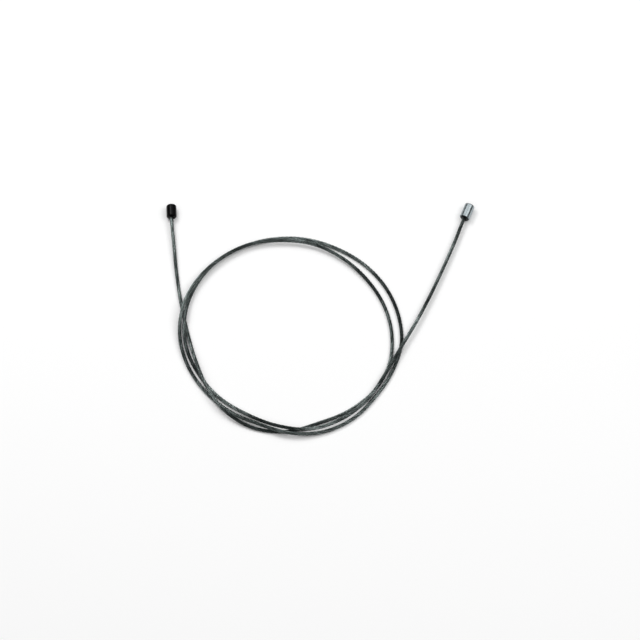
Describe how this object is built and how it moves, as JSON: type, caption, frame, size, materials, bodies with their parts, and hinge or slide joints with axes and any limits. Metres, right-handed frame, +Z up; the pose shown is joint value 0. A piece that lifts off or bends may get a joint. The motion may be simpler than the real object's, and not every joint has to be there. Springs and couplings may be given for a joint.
{
  "type": "parking brake cable",
  "caption": "Bare steel wire rope cable lying loosely coiled, with a cylindrical barrel end stop fixed on each end, one black and one plated.",
  "frame": {"origin": "middle of the outline, on the surface that the cable lies on", "axes": "+Z up from the surface, +X from the black barrel's side to the plated barrel's side, +Y towards the end that both barrels are at"},
  "size_m": [0.2745, 0.2325, 0.009],
  "materials": {
    "galvanised_wire_rope": "weathered galvanised wire, laid in strands",
    "black_coated_steel": "glossy black",
    "zinc_plated_steel": "bright zinc plating over a turned surface"
  },
  "bodies": {
    "root": {"wire_rope": "galvanised_wire_rope", "black_end_barrel": "black_coated_steel", "plated_end_barrel": "zinc_plated_steel"}
  },
  "joints": []
}
